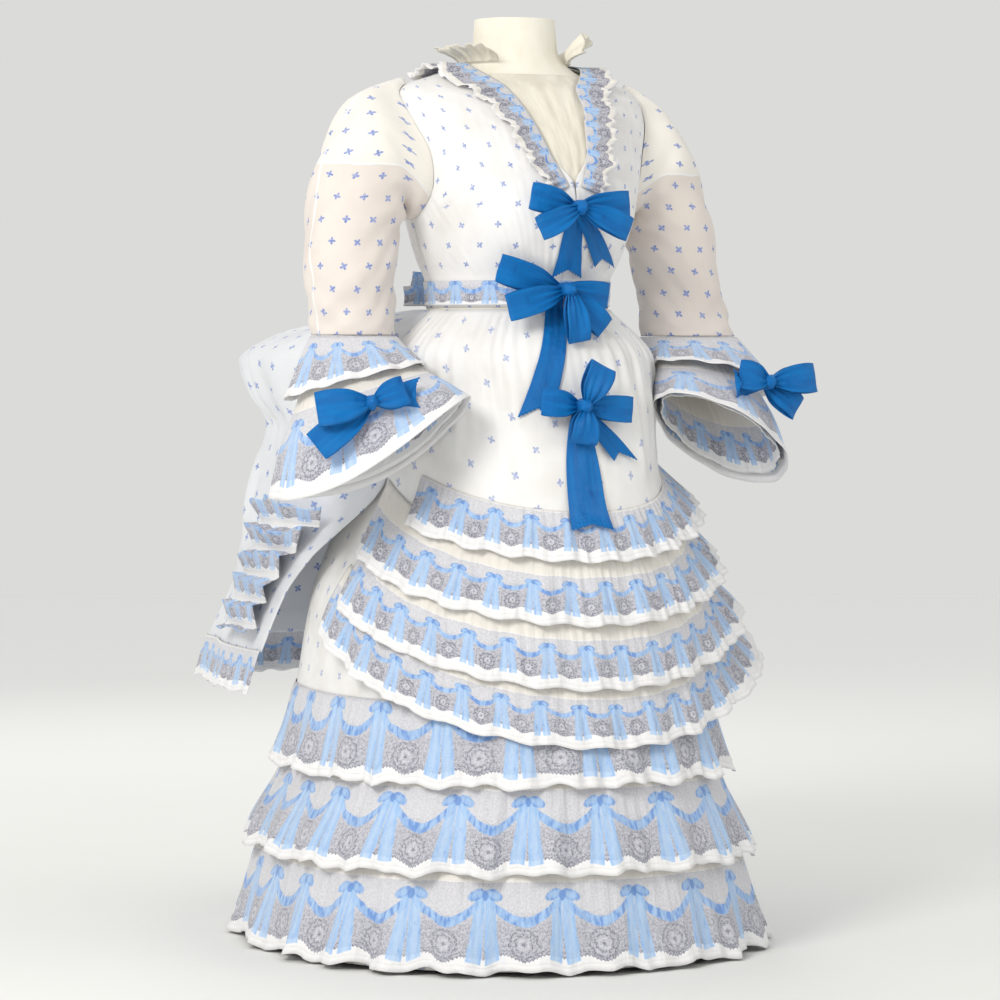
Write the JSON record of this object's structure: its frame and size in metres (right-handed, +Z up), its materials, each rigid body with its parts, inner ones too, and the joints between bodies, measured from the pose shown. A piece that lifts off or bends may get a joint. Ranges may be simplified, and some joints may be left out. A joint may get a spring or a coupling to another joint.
{
  "type": "ball gown on dress form",
  "caption": "Sprigged organdy ball gown with printed flounces, a puffed back drape, bell sleeves and blue ribbon bows, on a limbless dress form with a round base.",
  "frame": {"origin": "centre of the underside of the stand's round base, on the floor under the waist", "axes": "+Z up the stand, -Y toward the gown's front, +X toward the wearer's left"},
  "size_m": [0.8057, 1.0623, 1.346],
  "materials": {
    "sprigged_organdy": "sheer crisp ivory organdy with small blue sprigs",
    "printed_organdy": "crisp white organdy printed with blue ribbons, swags and grey lace",
    "sleeve_organdy": "single sheer organdy, warm where the form shows through",
    "cream_tulle": "soft cream tulle",
    "blue_taffeta": "crisp saturated blue silk taffeta with pinked ends",
    "form_cover": "smooth cream cotton cover",
    "stand_wood": "plain waxed brown wood"
  },
  "bodies": {
    "root": {"form_torso": "form_cover", "form_pole": "stand_wood", "form_base": "stand_wood", "bodice_front_right": "sprigged_organdy", "bodice_front_left": "sprigged_organdy", "bodice_back": "sprigged_organdy", "neck_filling": "cream_tulle", "neck_tulle": "cream_tulle", "neck_ruffle_right": "printed_organdy", "neck_ruffle_left": "printed_organdy", "sleeve_right": "sleeve_organdy", "sleeve_left": "sleeve_organdy", "sleeve_bell_right": "sprigged_organdy", "sleeve_bell_left": "sprigged_organdy", "bell_layer_right": "cream_tulle", "bell_layer_left": "cream_tulle", "elbow_frill_right": "printed_organdy", "elbow_frill_left": "printed_organdy", "underskirt": "sprigged_organdy", "flounce_1": "printed_organdy", "flounce_2": "printed_organdy", "flounce_3": "printed_organdy", "apron": "sprigged_organdy", "apron_tier_1": "printed_organdy", "apron_tier_2": "printed_organdy", "apron_tier_3": "printed_organdy", "apron_tier_4": "printed_organdy", "back_drape": "sprigged_organdy", "drape_frill": "printed_organdy", "side_cascade_right": "printed_organdy", "side_cascade_left": "printed_organdy", "belt": "printed_organdy", "bow_neck": "blue_taffeta", "bow_waist": "blue_taffeta", "bow_apron": "blue_taffeta", "sash_bow": "printed_organdy", "bell_bow_right": "blue_taffeta", "bell_bow_left": "blue_taffeta"}
  },
  "joints": []
}
